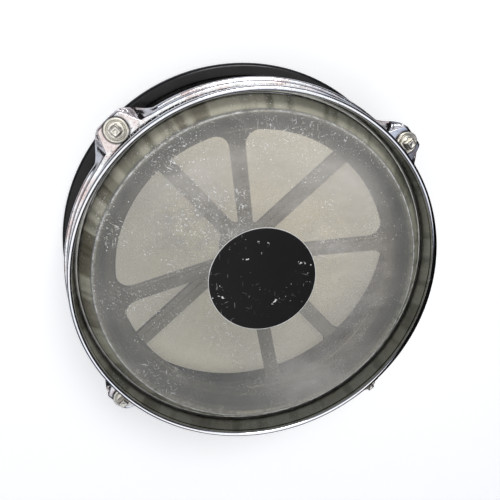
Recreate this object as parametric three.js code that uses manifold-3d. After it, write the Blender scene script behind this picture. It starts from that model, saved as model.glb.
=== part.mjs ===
// A shell-less tom tom drum that is tuned by turning it on a central screw.
//
// A cast upper frame carries the bearing edge. A counterhoop pulls the drumhead down over that edge,
// held by four key rods that screw into a cast lower frame. The lower frame runs on a threaded spindle,
// and the spindle pushes the upper frame up through a thrust washer, so turning the drum tunes it.
//
// Millimetres, +Z up along the drum's axis. The origin is on the axis, in the plane of the lower
// frame's underside, which the drum rests on. The rods stand on the diagonals of X and Y.

import * as THREE from 'three';
import { ConvexGeometry } from 'three/addons/geometries/ConvexGeometry.js';
import { mergeVertices } from 'three/addons/utils/BufferGeometryUtils.js';
import Module from 'manifold-3d';

const wasm = await Module();
wasm.setup();

// ---------------------------------------------------------------- driving dimensions

const clearance = 0.3;            // between pieces that touch
const ringSegments = 60;          // facets around every large ring
const hubSegments = 24;           // facets around washers, bushes and the spindle
const boreSegments = 16;          // facets around the rods and their bores
const arcSteps = 3;               // facets along a rounded edge
const cornerSteps = 2;            // facets along a small corner
const lipSteps = 6;               // facets over the hoop's rolled lip
const windowCurveSteps = 4;       // half the facets along each arc of a window between spokes
const overlap = 1;                // how far a cutter runs past a face, or a rib runs into one

const headHeight = 84;            // playing surface above the resting plane
const bearingRadius = 118;        // where the head bends over the bearing edge
const filmThickness = 0.3;
const collar = { run: 10.4, drop: 12 };   // slope of the film outside the bearing edge
const skirtRise = 1;              // from the flesh hoop's underside up to the film's edge
const dotRadius = 40;
const dotThickness = 0.3;

const rodCount = 4;
const rodCircle = 141.6;          // radius of the circle of rods
const firstRodAngle = Math.PI / 4;

const hoop = {
  wallInside: 129.8,
  sheet: 1.8,                     // thickness of the pressed steel
  top: headHeight + 6.5,
  curl: 3.3,                      // height of the rolled top lip
  shoulder: headHeight - 10.9,    // top of the step that presses on the flesh hoop
  skirtOutside: 136.2,
  flange: headHeight - 15.9,      // top of the bottom flange
  flangeOutside: 138.4,
  hem: 3.3,                       // depth of the flange's turned-down edge
  bend: 1,                        // outer radius of the pressed bends
};

const ear = {
  inner: 132,                     // radii of the flat top's inner and outer edges
  outer: 149.6,
  innerHalfWidth: 17,
  outerHalfWidth: 9.2,
  footInnerHalfWidth: 31,         // the same outline at the level of the hoop's flange
  footOuterHalfWidth: 10.4,
  footOuter: 150.2,
  holeRadius: 3.6,
};

const fleshHoop = { inside: 128.5, outside: 134.1, height: 6.1, corner: 1 };

const upper = {
  bearingCrown: 1.4,              // radius of the rounded bearing edge
  crownInset: 1,                  // from the bearing radius in to the crown's centre
  lip: 5.8,                       // width of the rim wall
  innerBevel: 2.2,                // from the crown's centre down to the wall's inner face
  draft: 1,                       // how far the inner face leans in towards its root
  root: 3,                        // size of the chamfer at the inner face's root
  edgeBreak: 1,                   // chamfer around the windows
  spokeStep: 0.5,                 // the spokes lie this much lower than the flat ring
  spokeDrop: 26,                  // how far the spokes sink on their way in to the hub
  spokeTurn: 12,                  // degrees from +X to the first spoke
  ringOverlap: 2,                 // how far the spokes run into the ring
  windowRadius: 104.3,            // inner edge of the flat ring
  top: 66,                        // top of the flat ring
  thickness: 6.5,
  spokeHalfWidth: 5.6,
  rimCorner: 10,
  hubCorner: 6,
  hubRadius: 20,
  hubBottom: 29.6,
  hubTop: 42,
  ribHalfWidth: 1.9,
  ribDepth: 3.5,
};

const lower = {
  inside: 134.2,
  outside: 148,
  height: 15,
  edge: 3,                        // rounding of the top outer edge
  chamfer: 0.8,
  ringOverlap: 2,                 // how far the arms run into the ring
  armHalfWidth: 6.75,
  armBottom: 2,
  armTop: 9,
  rimCorner: 9,
  hubCorner: 6,
  hubRadius: 21,
  hubTop: 16,
  ribHalfWidth: 2.2,
  ribTop: 14,
  bossRadius: 8.2,
  bossTop: 16.5,
  rodBoreGap: 0.4,
};

const rod = {
  radius: 2.9,
  headSide: 5.8,
  headHeight: 6.2,
  headChamfer: 0.7,
  flangeRadius: 5.4,
  flangeHeight: 1.3,
  flangeChamfer: 0.4,
  tipChamfer: 0.8,
  bottom: 2,
};

const rodWasher = { radius: 7.9, thickness: 1.9, dish: 0.4, rimWidth: 1.5, rimBreak: 0.4, dishSlope: 0.5 };
const rodNut = { acrossFlats: 10, bottom: 1.6, height: 4.8, chamfer: 0.8 };

const spindle = {
  threadRadius: 8,
  bottom: 8,
  top: 53,
  shoulderRadius: 12.5,
  shoulderBottom: 23.5,
  shoulderHeight: 3.5,
  journalRadius: 6.1,
  socketRadius: 4.5,
  socketDepth: 18,
  chamfer: 1,
};

const bush = { wall: 4.4, flangeRadius: 17, flangeHeight: 3, bottom: 3, chamfer: 0.6 };
const thrustWasher = { radius: 12.5, thickness: 2 };
const topWasher = { radius: 11, thickness: 1.3 };
const retainingNut = { acrossFlats: 17, height: 7, chamfer: 1.2 };

// ---------------------------------------------------------------- materials

function material(color, roughness, metalness, opacity = 1) {
  return new THREE.MeshStandardMaterial({
    color, roughness, metalness, opacity, transparent: opacity < 1,
  });
}

const chrome = material(0xd8dadd, 0.08, 1);
const nickel = material(0xd9d3c4, 0.28, 1);
const clearFilm = material(0xc9c6ba, 0.35, 0, 0.45);
const blackFilm = material(0x1c1b1c, 0.3, 0);
const aluminium = material(0xb4b3a8, 0.35, 1);
const greyCasting = material(0x53555b, 0.5, 0.3);
const blackPaint = material(0x0c0c0d, 0.15, 0);
const brass = material(0xb08d45, 0.35, 1);
const steel = material(0x9b9da1, 0.3, 1);
const nylon = material(0xe6e2d3, 0.55, 0);

// ---------------------------------------------------------------- solids

// A geometry as a manifold solid: positions only, shared vertices merged, no zero-area triangles.
function toSolid(geometry) {
  const bare = geometry.clone();
  bare.deleteAttribute('normal');
  bare.deleteAttribute('uv');
  const merged = mergeVertices(bare);
  const index = merged.index.array;
  const triangles = [];
  for (let i = 0; i < index.length; i += 3) {
    const [a, b, c] = index.slice(i, i + 3);
    if (a !== b && b !== c && c !== a) {
      triangles.push(a, b, c);
    }
  }
  return new wasm.Manifold(new wasm.Mesh({
    numProp: 3,
    vertProperties: new Float32Array(merged.attributes.position.array),
    triVerts: new Uint32Array(triangles),
  }));
}

function toGeometry(solid) {
  const mesh = solid.getMesh();
  const geometry = new THREE.BufferGeometry();
  geometry.setAttribute('position', new THREE.BufferAttribute(mesh.vertProperties, mesh.numProp));
  geometry.setIndex(new THREE.BufferAttribute(mesh.triVerts, 1));
  return geometry;
}

// A body turned about Z from a closed profile of [radius, height] points, given anticlockwise
// with the radius to the right and the height upwards.
function turned(profile, segments = ringSegments) {
  const points = profile.map(([radius, height]) => new THREE.Vector2(radius, height));
  if (profile[0][0] > 0) {
    points.push(points[0].clone());
  }
  return new THREE.LatheGeometry(points, segments).rotateX(Math.PI / 2);
}

// Points along an arc, with the angles in degrees, for use inside a profile.
function arcPoints(centreRadius, centreHeight, radius, fromDegrees, toDegrees, steps = arcSteps) {
  const points = [];
  for (let i = 0; i <= steps; i += 1) {
    const angle = THREE.MathUtils.degToRad(fromDegrees + (toDegrees - fromDegrees) * i / steps);
    points.push([centreRadius + radius * Math.cos(angle), centreHeight + radius * Math.sin(angle)]);
  }
  return points;
}

function cylinder(radius, bottom, top, segments = boreSegments) {
  return new THREE.CylinderGeometry(radius, radius, top - bottom, segments)
    .rotateX(Math.PI / 2)
    .translate(0, 0, (bottom + top) / 2);
}

// A stiffening rib along +X, through (distance, height) corners.
function rib(halfWidth, corners) {
  return new ConvexGeometry(corners.flatMap(([distance, height]) => [
    new THREE.Vector3(distance, -halfWidth, height),
    new THREE.Vector3(distance, halfWidth, height),
  ]));
}

function plainWasher(insideRadius, outsideRadius, bottom, thickness) {
  const top = bottom + thickness;
  return turned([
    [insideRadius, bottom],
    [outsideRadius, bottom],
    [outsideRadius, top],
    [insideRadius, top],
  ], hubSegments);
}

function hexRadius(acrossFlats) {
  return acrossFlats / Math.sqrt(3);
}

// A hexagon nut with its bore and with chamfered corners on both faces.
function hexNut(acrossFlats, bottom, height, boreRadius, chamfer) {
  const corner = hexRadius(acrossFlats);
  const turnedBlank = turned([
    [0, bottom],
    [corner - chamfer, bottom],
    [corner, bottom + chamfer / 2],
    [corner, bottom + height - chamfer / 2],
    [corner - chamfer, bottom + height],
    [0, bottom + height],
  ], hubSegments);
  return toSolid(cylinder(corner, bottom, bottom + height, 6))
    .intersect(toSolid(turnedBlank))
    .subtract(toSolid(cylinder(boreRadius, bottom - overlap, bottom + height + overlap)));
}

// The opening between two spokes that lie along +X and +Y, with rounded corners.
function windowOutline({ hubRadius, rimRadius, halfWidth, hubCorner, rimCorner }) {
  const rimOffset = halfWidth + rimCorner;
  const rimReach = Math.sqrt((rimRadius - rimCorner) ** 2 - rimOffset ** 2);
  const rimAngle = Math.atan2(rimOffset, rimReach);
  const hubOffset = halfWidth + hubCorner;
  const hubReach = Math.sqrt((hubRadius + hubCorner) ** 2 - hubOffset ** 2);
  const hubAngle = Math.atan2(hubOffset, hubReach);
  const quarter = Math.PI / 2;
  const outline = new THREE.Path();
  outline.moveTo(hubReach, halfWidth);
  outline.lineTo(rimReach, halfWidth);
  outline.absarc(rimReach, rimOffset, rimCorner, -quarter, rimAngle, false);
  outline.absarc(0, 0, rimRadius, rimAngle, quarter - rimAngle, false);
  outline.absarc(rimOffset, rimReach, rimCorner, quarter - rimAngle, 2 * quarter, false);
  outline.lineTo(halfWidth, hubReach);
  outline.absarc(hubOffset, hubReach, hubCorner, 2 * quarter, 3 * quarter - hubAngle, false);
  outline.absarc(0, 0, hubRadius, quarter - hubAngle, hubAngle, true);
  outline.absarc(hubReach, hubOffset, hubCorner, 2 * quarter + hubAngle, 3 * quarter, false);
  return outline;
}

// A disc with a window cut between each pair of its four spokes.
function spoked(disc, bottom, top, window) {
  const hole = new THREE.Shape(windowOutline(window).getPoints(windowCurveSteps));
  const depth = top - bottom + 2 * overlap;
  const cutters = [];
  for (let quarterTurn = 0; quarterTurn < 4; quarterTurn += 1) {
    cutters.push(toSolid(new THREE.ExtrudeGeometry(hole, { depth, bevelEnabled: false })
      .translate(0, 0, bottom - overlap)
      .rotateZ(quarterTurn * Math.PI / 2)));
  }
  return without(disc, cutters);
}

// The same geometry four times around the axis, given as it lies along +X.
function atEachQuarter(makeGeometry) {
  const copies = [];
  for (let i = 0; i < rodCount; i += 1) {
    copies.push(toSolid(makeGeometry().rotateZ(i * 2 * Math.PI / rodCount)));
  }
  return copies;
}

// The same geometry at each of the four rods, given as it lies along +X.
function atEachRod(makeGeometry) {
  return atEachQuarter(() => makeGeometry().rotateZ(firstRodAngle));
}

function joined(solids) {
  return solids.reduce((total, solid) => total.add(solid));
}

function without(solid, cutters) {
  return cutters.reduce((rest, cutter) => rest.subtract(cutter), solid);
}

// ---------------------------------------------------------------- drumhead

// The head bends over the bearing edge and slopes down to the flesh hoop. This is its section at a
// depth below the outer surface, from the axis outwards.
function filmSection(depth) {
  const slopeNormal = THREE.MathUtils.radToDeg(Math.atan2(collar.run, collar.drop));
  const crownCentre = bearingRadius - upper.crownInset;
  const crownRadius = upper.bearingCrown + clearance + filmThickness;
  const bend = arcPoints(crownCentre, headHeight - crownRadius, crownRadius - depth, 90, slopeNormal);
  const [bendRadius, bendHeight] = bend[bend.length - 1];
  const skirtRadius = fleshHoop.inside - clearance - depth;
  const skirtTop = bendHeight - (skirtRadius - bendRadius) * collar.drop / collar.run;
  const skirtBottom = hoop.shoulder - hoop.sheet - clearance - fleshHoop.height + skirtRise;
  return [[0, headHeight - depth], ...bend, [skirtRadius, skirtTop], [skirtRadius, skirtBottom]];
}

function makeHeadFilm() {
  const outside = filmSection(0);
  const inside = filmSection(filmThickness);
  return turned([...inside, ...outside.reverse()]);
}

function makeCentreDot() {
  const bottom = headHeight + clearance;
  return turned([
    [0, bottom],
    [dotRadius, bottom],
    [dotRadius, bottom + dotThickness],
    [0, bottom + dotThickness],
  ]);
}

function makeFleshHoop() {
  const top = hoop.shoulder - hoop.sheet - clearance;
  const bottom = top - fleshHoop.height;
  const { inside, outside, corner } = fleshHoop;
  return turned([
    [inside, bottom],
    [outside, bottom],
    ...arcPoints(outside - corner, top - corner, corner, 0, 90, cornerSteps),
    ...arcPoints(inside + corner, top - corner, corner, 90, 180, cornerSteps),
  ]);
}

// ---------------------------------------------------------------- counterhoop

function makeCounterhoop() {
  const { sheet, bend } = hoop;
  const lipCentre = hoop.wallInside + sheet;
  const shoulderUnder = hoop.shoulder - sheet;
  const flangeUnder = hoop.flange - sheet;
  const skirtInside = hoop.skirtOutside - sheet;
  const ring = toSolid(turned([
    [hoop.wallInside, shoulderUnder],
    [skirtInside, shoulderUnder],
    [skirtInside, flangeUnder],
    [hoop.flangeOutside - sheet, flangeUnder],
    [hoop.flangeOutside - sheet, hoop.flange - hoop.hem],
    [hoop.flangeOutside, hoop.flange - hoop.hem],
    ...arcPoints(hoop.flangeOutside - bend, hoop.flange - bend, bend, 0, 90, cornerSteps),
    [hoop.skirtOutside, hoop.flange],
    ...arcPoints(hoop.skirtOutside - bend, hoop.shoulder - bend, bend, 0, 90, cornerSteps),
    [lipCentre, hoop.shoulder],
    [lipCentre, hoop.top - hoop.curl],
    [lipCentre + sheet, hoop.top - hoop.curl],
    ...arcPoints(lipCentre, hoop.top - sheet, sheet, 0, 180, lipSteps),
  ]));

  // Each ear is a pressed tray: a flat top, sloping sides and an open underside.
  const ears = joined(atEachRod(() => earHull(0)));
  const hollows = atEachRod(() => earHull(sheet));
  const headSpace = toSolid(cylinder(skirtInside, 0, shoulderUnder, ringSegments));
  const bores = atEachRod(() => cylinder(ear.holeRadius, 0, hoop.top).translate(rodCircle, 0, 0));
  const trays = without(ears, [...hollows, headSpace, spaceInsideHoop()]);
  return without(ring.add(trays), bores);
}

function spaceInsideHoop() {
  return toSolid(cylinder(hoop.wallInside + hoop.sheet / 2, 0, hoop.top, ringSegments));
}

// The outer shape of an ear along +X, or with an inset the hollow under its sheet.
function earHull(inset) {
  const top = hoop.shoulder - inset;
  const foot = hoop.flange - hoop.sheet - (inset > 0 ? overlap : 0);
  const corners = [];
  for (const side of [-1, 1]) {
    corners.push(new THREE.Vector3(ear.inner - 2 * inset, side * (ear.innerHalfWidth - inset), top));
    corners.push(new THREE.Vector3(ear.outer - inset, side * (ear.outerHalfWidth - inset), top));
    corners.push(new THREE.Vector3(ear.inner - 2 * inset, side * (ear.footInnerHalfWidth - inset), foot));
    corners.push(new THREE.Vector3(ear.footOuter - inset, side * (ear.footOuterHalfWidth - inset), foot));
  }
  return new ConvexGeometry(corners);
}

// ---------------------------------------------------------------- frames

// Cast ring with the bearing edge on its rim, four spokes and a hub that turns on the spindle.
function makeUpperFrame() {
  const bottom = upper.top - upper.thickness;
  const crownCentre = bearingRadius - upper.crownInset;
  const crownHeight = headHeight - filmThickness - clearance - upper.bearingCrown;
  const wallInside = crownCentre + upper.bearingCrown - upper.lip;
  const rim = toSolid(turned([
    [upper.windowRadius, bottom],
    [crownCentre + upper.bearingCrown, bottom],
    ...arcPoints(crownCentre, crownHeight, upper.bearingCrown, 0, 135),
    [wallInside, crownHeight - upper.innerBevel],
    [wallInside - upper.draft, upper.top + upper.root],
    [wallInside - upper.draft - upper.root, upper.top],
    [upper.windowRadius + upper.edgeBreak, upper.top],
    [upper.windowRadius, upper.top - upper.edgeBreak],
  ]));
  const spokeReach = upper.windowRadius + upper.ringOverlap;
  const spokeTop = upper.top - upper.spokeStep;
  const hubSpokeTop = spokeTop - upper.spokeDrop;
  const hubSpokeBottom = bottom - upper.spokeDrop;
  const dishStart = upper.hubRadius - overlap;
  const dish = toSolid(turned([
    [0, hubSpokeBottom],
    [dishStart, hubSpokeBottom],
    [spokeReach, bottom + upper.spokeStep],
    [spokeReach, spokeTop],
    [dishStart, hubSpokeTop],
    [0, hubSpokeTop],
  ]));
  const spokes = spoked(dish, hubSpokeBottom, spokeTop, {
    hubRadius: upper.hubRadius,
    rimRadius: upper.windowRadius,
    halfWidth: upper.spokeHalfWidth,
    hubCorner: upper.hubCorner,
    rimCorner: upper.rimCorner,
  });
  const ribs = atEachQuarter(() => rib(upper.ribHalfWidth, [
    [dishStart, hubSpokeBottom + overlap],
    [dishStart, hubSpokeBottom - upper.ribDepth],
    [upper.windowRadius, bottom + overlap],
  ]));
  const hub = toSolid(cylinder(upper.hubRadius, upper.hubBottom, upper.hubTop, hubSegments));
  const bore = toSolid(cylinder(spindle.journalRadius + clearance, 0, headHeight));
  const cross = joined([spokes, hub, ...ribs]).rotate([0, 0, upper.spokeTurn]);
  return without(joined([rim, cross]), [bore]);
}

// Cast ring that the rods pull on, four arms to a hub, and a nut pocket under each rod's boss.
function makeLowerFrame() {
  const { inside, outside, height, edge, chamfer } = lower;
  const ring = toSolid(turned([
    [inside + chamfer, 0],
    [outside - chamfer, 0],
    [outside, chamfer],
    ...arcPoints(outside - edge, height - edge, edge, 0, 90),
    [inside + chamfer, height],
    [inside, height - chamfer],
    [inside, chamfer],
  ]));
  const armReach = inside + lower.ringOverlap;
  const disc = toSolid(cylinder(armReach, lower.armBottom, lower.armTop, ringSegments));
  const arms = spoked(disc, lower.armBottom, lower.armTop, {
    hubRadius: lower.hubRadius,
    rimRadius: inside,
    halfWidth: lower.armHalfWidth,
    hubCorner: lower.hubCorner,
    rimCorner: lower.rimCorner,
  });
  const ribs = atEachQuarter(() => rib(lower.ribHalfWidth, [
    [lower.hubRadius - overlap, lower.armTop - overlap],
    [lower.hubRadius - overlap, lower.ribTop],
    [armReach, lower.armTop - overlap],
  ]));
  const cross = joined([arms, ...ribs]).rotate([0, 0, THREE.MathUtils.radToDeg(firstRodAngle)]);
  const hub = toSolid(cylinder(lower.hubRadius, lower.armBottom, lower.hubTop, hubSegments));
  const bosses = atEachRod(() => cylinder(lower.bossRadius, 0, lower.bossTop).translate(rodCircle, 0, 0));
  const body = joined([ring, cross, hub, ...bosses]);

  const hubBore = toSolid(cylinder(bushOutside() + clearance, -overlap, lower.hubTop + overlap, hubSegments));
  const boreTop = lower.bossTop + overlap;
  const rodBores = atEachRod(() => cylinder(rod.radius + lower.rodBoreGap, -overlap, boreTop)
    .translate(rodCircle, 0, 0));
  const pocketRadius = hexRadius(rodNut.acrossFlats + 2 * clearance);
  const pocketTop = rodNut.bottom + rodNut.height + clearance;
  const pockets = atEachRod(() => cylinder(pocketRadius, -overlap, pocketTop, 6).translate(rodCircle, 0, 0));
  return without(body, [hubBore, ...rodBores, ...pockets]);
}

// ---------------------------------------------------------------- rods

// One key rod, standing on the Z axis: square head, flange and a shank that ends inside its nut.
function makeRod() {
  const flangeBottom = hoop.shoulder + clearance + rodWasher.thickness + clearance - rodWasher.dish;
  const flangeTop = flangeBottom + rod.flangeHeight;
  const shank = toSolid(turned([
    [0, rod.bottom],
    [rod.radius - rod.tipChamfer, rod.bottom],
    [rod.radius, rod.bottom + rod.tipChamfer],
    [rod.radius, flangeBottom],
    [rod.flangeRadius, flangeBottom],
    [rod.flangeRadius, flangeTop - rod.flangeChamfer],
    [rod.flangeRadius - rod.flangeChamfer, flangeTop],
    [0, flangeTop],
  ], boreSegments));
  const halfSide = rod.headSide / 2;
  const headTop = flangeTop + rod.headHeight;
  const corners = [];
  for (const [halfWidth, height] of [
    [halfSide, flangeBottom + clearance],
    [halfSide, headTop - rod.headChamfer],
    [halfSide - rod.headChamfer, headTop],
  ]) {
    for (const [sideX, sideY] of [[-1, -1], [1, -1], [1, 1], [-1, 1]]) {
      corners.push(new THREE.Vector3(sideX * halfWidth, sideY * halfWidth, height));
    }
  }
  return shank.add(toSolid(new ConvexGeometry(corners)));
}

// The washer under a rod's flange: a raised rim around a shallow dish.
function makeRodWasher() {
  const bottom = hoop.shoulder + clearance;
  const top = bottom + rodWasher.thickness;
  const dishTop = top - rodWasher.dish;
  return turned([
    [rod.radius + clearance, bottom],
    [rodWasher.radius, bottom],
    [rodWasher.radius, top - rodWasher.rimBreak],
    [rodWasher.radius - rodWasher.rimBreak, top],
    [rodWasher.radius - rodWasher.rimWidth, top],
    [rodWasher.radius - rodWasher.rimWidth - rodWasher.dishSlope, dishTop],
    [rod.radius + clearance, dishTop],
  ], hubSegments);
}

// ---------------------------------------------------------------- spindle and hub

function bushOutside() {
  return spindle.threadRadius + clearance + bush.wall;
}

// Threaded post with a shoulder under the upper frame and a socket for a stand in its lower end.
function makeSpindle() {
  const { bottom, top, threadRadius, journalRadius, socketRadius, chamfer } = spindle;
  const shoulderTop = spindle.shoulderBottom + spindle.shoulderHeight;
  const socketTop = bottom + spindle.socketDepth;
  return turned([
    [0, socketTop],
    [socketRadius, socketTop],
    [socketRadius, bottom],
    [threadRadius - chamfer, bottom],
    [threadRadius, bottom + chamfer],
    [threadRadius, spindle.shoulderBottom],
    [spindle.shoulderRadius, spindle.shoulderBottom],
    [spindle.shoulderRadius, shoulderTop],
    [journalRadius, shoulderTop],
    [journalRadius, top - chamfer],
    [journalRadius - chamfer, top],
    [0, top],
  ], hubSegments);
}

function makeHubBush() {
  const inside = spindle.threadRadius + clearance;
  const flangeBottom = lower.hubTop + clearance;
  const flangeTop = flangeBottom + bush.flangeHeight;
  return turned([
    [inside, bush.bottom],
    [bushOutside(), bush.bottom],
    [bushOutside(), flangeBottom],
    [bush.flangeRadius, flangeBottom],
    [bush.flangeRadius, flangeTop - bush.chamfer],
    [bush.flangeRadius - bush.chamfer, flangeTop],
    [inside, flangeTop],
  ], hubSegments);
}

const journalBore = spindle.journalRadius + clearance;
const thrustBottom = spindle.shoulderBottom + spindle.shoulderHeight + clearance;
const topWasherBottom = upper.hubTop + clearance;
const retainingNutBottom = topWasherBottom + topWasher.thickness + clearance;

// ---------------------------------------------------------------- assembly

const drum = new THREE.Group();

function addPiece(name, shape, look, parent = drum) {
  const geometry = shape.isBufferGeometry ? shape : toGeometry(shape);
  const mesh = new THREE.Mesh(geometry, look);
  mesh.name = name;
  parent.add(mesh);
  return mesh;
}

addPiece('counterhoop', makeCounterhoop(), chrome);
addPiece('head_film', makeHeadFilm(), clearFilm);
addPiece('flesh_hoop', makeFleshHoop(), aluminium);
addPiece('centre_dot', makeCentreDot(), blackFilm);
addPiece('upper_frame', makeUpperFrame(), greyCasting);
addPiece('lower_frame', makeLowerFrame(), blackPaint);
addPiece('spindle', makeSpindle(), steel);
addPiece('hub_bush', makeHubBush(), brass);
addPiece('thrust_washer', plainWasher(journalBore, thrustWasher.radius,
  thrustBottom, thrustWasher.thickness), nylon);
addPiece('top_washer', plainWasher(journalBore, topWasher.radius,
  topWasherBottom, topWasher.thickness), steel);
addPiece('retaining_nut', hexNut(retainingNut.acrossFlats, retainingNutBottom,
  retainingNut.height, journalBore, retainingNut.chamfer), steel);

for (let i = 0; i < rodCount; i += 1) {
  const angle = firstRodAngle + i * 2 * Math.PI / rodCount;
  const station = new THREE.Group();
  station.position.set(rodCircle * Math.cos(angle), rodCircle * Math.sin(angle), 0);
  station.rotation.z = angle;
  drum.add(station);
  addPiece(`tension_rod_${i + 1}`, makeRod(), nickel, station);
  addPiece(`rod_washer_${i + 1}`, makeRodWasher(), nickel, station);
  addPiece(`rod_nut_${i + 1}`, hexNut(rodNut.acrossFlats, rodNut.bottom, rodNut.height,
    rod.radius + clearance, rodNut.chamfer), steel, station);
}

export default drum;
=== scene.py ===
"""A shell-less tom tom drum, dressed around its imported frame.

The drum is turned about Z, so most pieces are outlines of (radius, height) turned about that axis.
Sizes here are in millimetres and the meshes are in metres.
"""

import math

import bmesh
import bpy
import numpy as np
from mathutils import Matrix, Vector


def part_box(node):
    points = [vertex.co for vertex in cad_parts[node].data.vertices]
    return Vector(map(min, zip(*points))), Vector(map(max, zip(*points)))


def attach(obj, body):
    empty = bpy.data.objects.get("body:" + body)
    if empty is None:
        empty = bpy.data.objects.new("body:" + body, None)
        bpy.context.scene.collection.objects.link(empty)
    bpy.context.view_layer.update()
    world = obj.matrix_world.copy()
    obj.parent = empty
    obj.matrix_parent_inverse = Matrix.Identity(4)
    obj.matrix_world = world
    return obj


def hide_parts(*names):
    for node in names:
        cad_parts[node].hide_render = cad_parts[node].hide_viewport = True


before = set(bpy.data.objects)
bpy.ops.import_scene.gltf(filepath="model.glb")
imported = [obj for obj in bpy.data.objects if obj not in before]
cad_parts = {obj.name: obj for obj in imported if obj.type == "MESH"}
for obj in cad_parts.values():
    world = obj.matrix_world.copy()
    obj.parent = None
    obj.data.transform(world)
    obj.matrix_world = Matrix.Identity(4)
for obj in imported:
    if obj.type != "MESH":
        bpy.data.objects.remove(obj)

MM = 0.001
TURN = 2 * math.pi
RODS = 4
SPOKES = 4
RING_COLUMNS = 720          # columns around a large ring
SMALL_COLUMNS = 96          # columns around a hub or a washer
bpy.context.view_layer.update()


def low(node):
    """A CAD node's lowest corner in millimetres."""
    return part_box(node)[0] / MM


def high(node):
    """A CAD node's highest corner in millimetres."""
    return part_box(node)[1] / MM


# ------------------------------------------------------------------ sizes, from the frame

HEAD = high("head_film").z                  # playing surface
FILM_OUT = high("head_film").x              # outside of the film's skirt
FILM_LOW = low("head_film").z
DOT_RADIUS = high("centre_dot").x
HOOP_TOP = high("counterhoop").z
HOOP_LOW = low("counterhoop").z
WASHER_LOW = low("rod_washer_1").z
WASHER_HIGH = high("rod_washer_1").z
ROD_LOW = low("tension_rod_1").z
ROD_HIGH = high("tension_rod_1").z
nut_names = [f"rod_nut_{i + 1}" for i in range(RODS)]
rod_places = [(low(name) + high(name)) / 2 for name in nut_names]
ROD_CIRCLE = rod_places[0].xy.length
ROD_ANGLES = [math.atan2(place.y, place.x) for place in rod_places]
BEARING = 118.0                             # radius at which the film bends
ROD_THREAD_PITCH = 1.0583
SPINDLE_PITCH = 2.54
FINE_PITCH = 1.25                           # of the spindle's top and its nut
WASHER_RADIUS = 7.9
UPPER_WINDOW = 104.3                        # outer radius of the windows between the upper spokes
SPOKE_HALF_WIDTH = 5.6
SPOKE_TURN = math.radians(12)               # the first upper spoke's angle from +X
LOWER_INSIDE = 134.2                        # inner radius of the lower ring


# ------------------------------------------------------------------ mesh helpers

def rounded(corners, steps=4, closed=True):
    """The outline through (radius, height, rounding) corners, with each corner rounded."""
    count = len(corners)
    spots = [np.array(corner[:2], float) for corner in corners]
    sizes = [corner[2] if len(corner) > 2 else 0.0 for corner in corners]
    if not closed:
        sizes[0] = sizes[-1] = 0.0
    lengths = [np.linalg.norm(spots[(i + 1) % count] - spots[i]) for i in range(count)]
    reach = []
    for i, size in enumerate(sizes):
        back = spots[i - 1] - spots[i]
        ahead = spots[(i + 1) % count] - spots[i]
        scale = np.linalg.norm(back) * np.linalg.norm(ahead)
        half = math.acos(np.clip(back @ ahead / max(scale, 1e-9), -1, 1)) / 2
        reach.append(0.0 if size == 0 else size / max(math.tan(half), 1e-3))
    for i in range(count):
        room, wanted = 0.98 * lengths[i], reach[i] + reach[(i + 1) % count]
        if wanted > room:
            reach[i] *= room / wanted
            reach[(i + 1) % count] *= room / wanted
    points = []
    for i, here in enumerate(spots):
        if reach[i] == 0:
            points.append(here)
            continue
        start = here + (spots[i - 1] - here) * reach[i] / lengths[i - 1]
        end = here + (spots[(i + 1) % count] - here) * reach[i] / lengths[i]
        for t in np.linspace(0, 1, steps + 1):
            points.append((1 - t) ** 2 * start + 2 * t * (1 - t) * here + t ** 2 * end)
    return points


def arc(centre_radius, centre_height, radius, from_degrees, to_degrees, steps=8):
    """Points along an arc in an outline."""
    angles = np.radians(np.linspace(from_degrees, to_degrees, steps + 1))
    return [np.array((centre_radius + radius * math.cos(a), centre_height + radius * math.sin(a)))
            for a in angles]


def stack(radius, start, end, step):
    """Closely spaced rows at one radius, for a thread to be cut in."""
    rows = max(2, round(abs(end - start) / step))
    return [np.array((radius, start + (end - start) * i / rows)) for i in range(rows + 1)]


def finish_mesh(obj, sharp=32):
    """Points the faces out, shades them smoothly and keeps edges over `sharp` degrees crisp."""
    work = bmesh.new()
    work.from_mesh(obj.data)
    bmesh.ops.remove_doubles(work, verts=work.verts, dist=1e-6)
    bmesh.ops.dissolve_degenerate(work, dist=1e-7, edges=work.edges)
    bmesh.ops.recalc_face_normals(work, faces=work.faces)
    work.to_mesh(obj.data)
    work.free()
    obj.data.shade_smooth()
    obj.data.set_sharp_from_angle(angle=math.radians(sharp))
    return obj


def linked(name, data):
    """A new object in the scene."""
    obj = bpy.data.objects.new(name, data)
    bpy.context.scene.collection.objects.link(obj)
    return obj


def mesh_object(name, points, faces, sharp=32):
    """A new object from points in millimetres."""
    mesh = bpy.data.meshes.new(name)
    mesh.from_pydata((np.asarray(points) * MM).tolist(), [], faces)
    return finish_mesh(linked(name, mesh), sharp)


def woven(name, angle, radius, height, closed, poles=(), sharp=32):
    """A mesh from grids of angle, radius and height: columns go around Z, rows along the outline."""
    columns, rows = radius.shape
    points = np.stack((radius * np.cos(angle), radius * np.sin(angle), height), -1).reshape(-1, 3)
    last = rows if closed else rows - 1
    faces = []
    for i in range(columns):
        this, following = i * rows, (i + 1) % columns * rows
        for j in range(last):
            ahead = (j + 1) % rows
            faces.append((this + j, following + j, following + ahead, this + ahead))
        if poles:
            faces.append((following, this, len(points)))
            faces.append((this + rows - 1, following + rows - 1, len(points) + 1))
    if poles:
        points = np.vstack((points, [(0, 0, pole) for pole in poles]))
    return mesh_object(name, points, faces, sharp)


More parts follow.
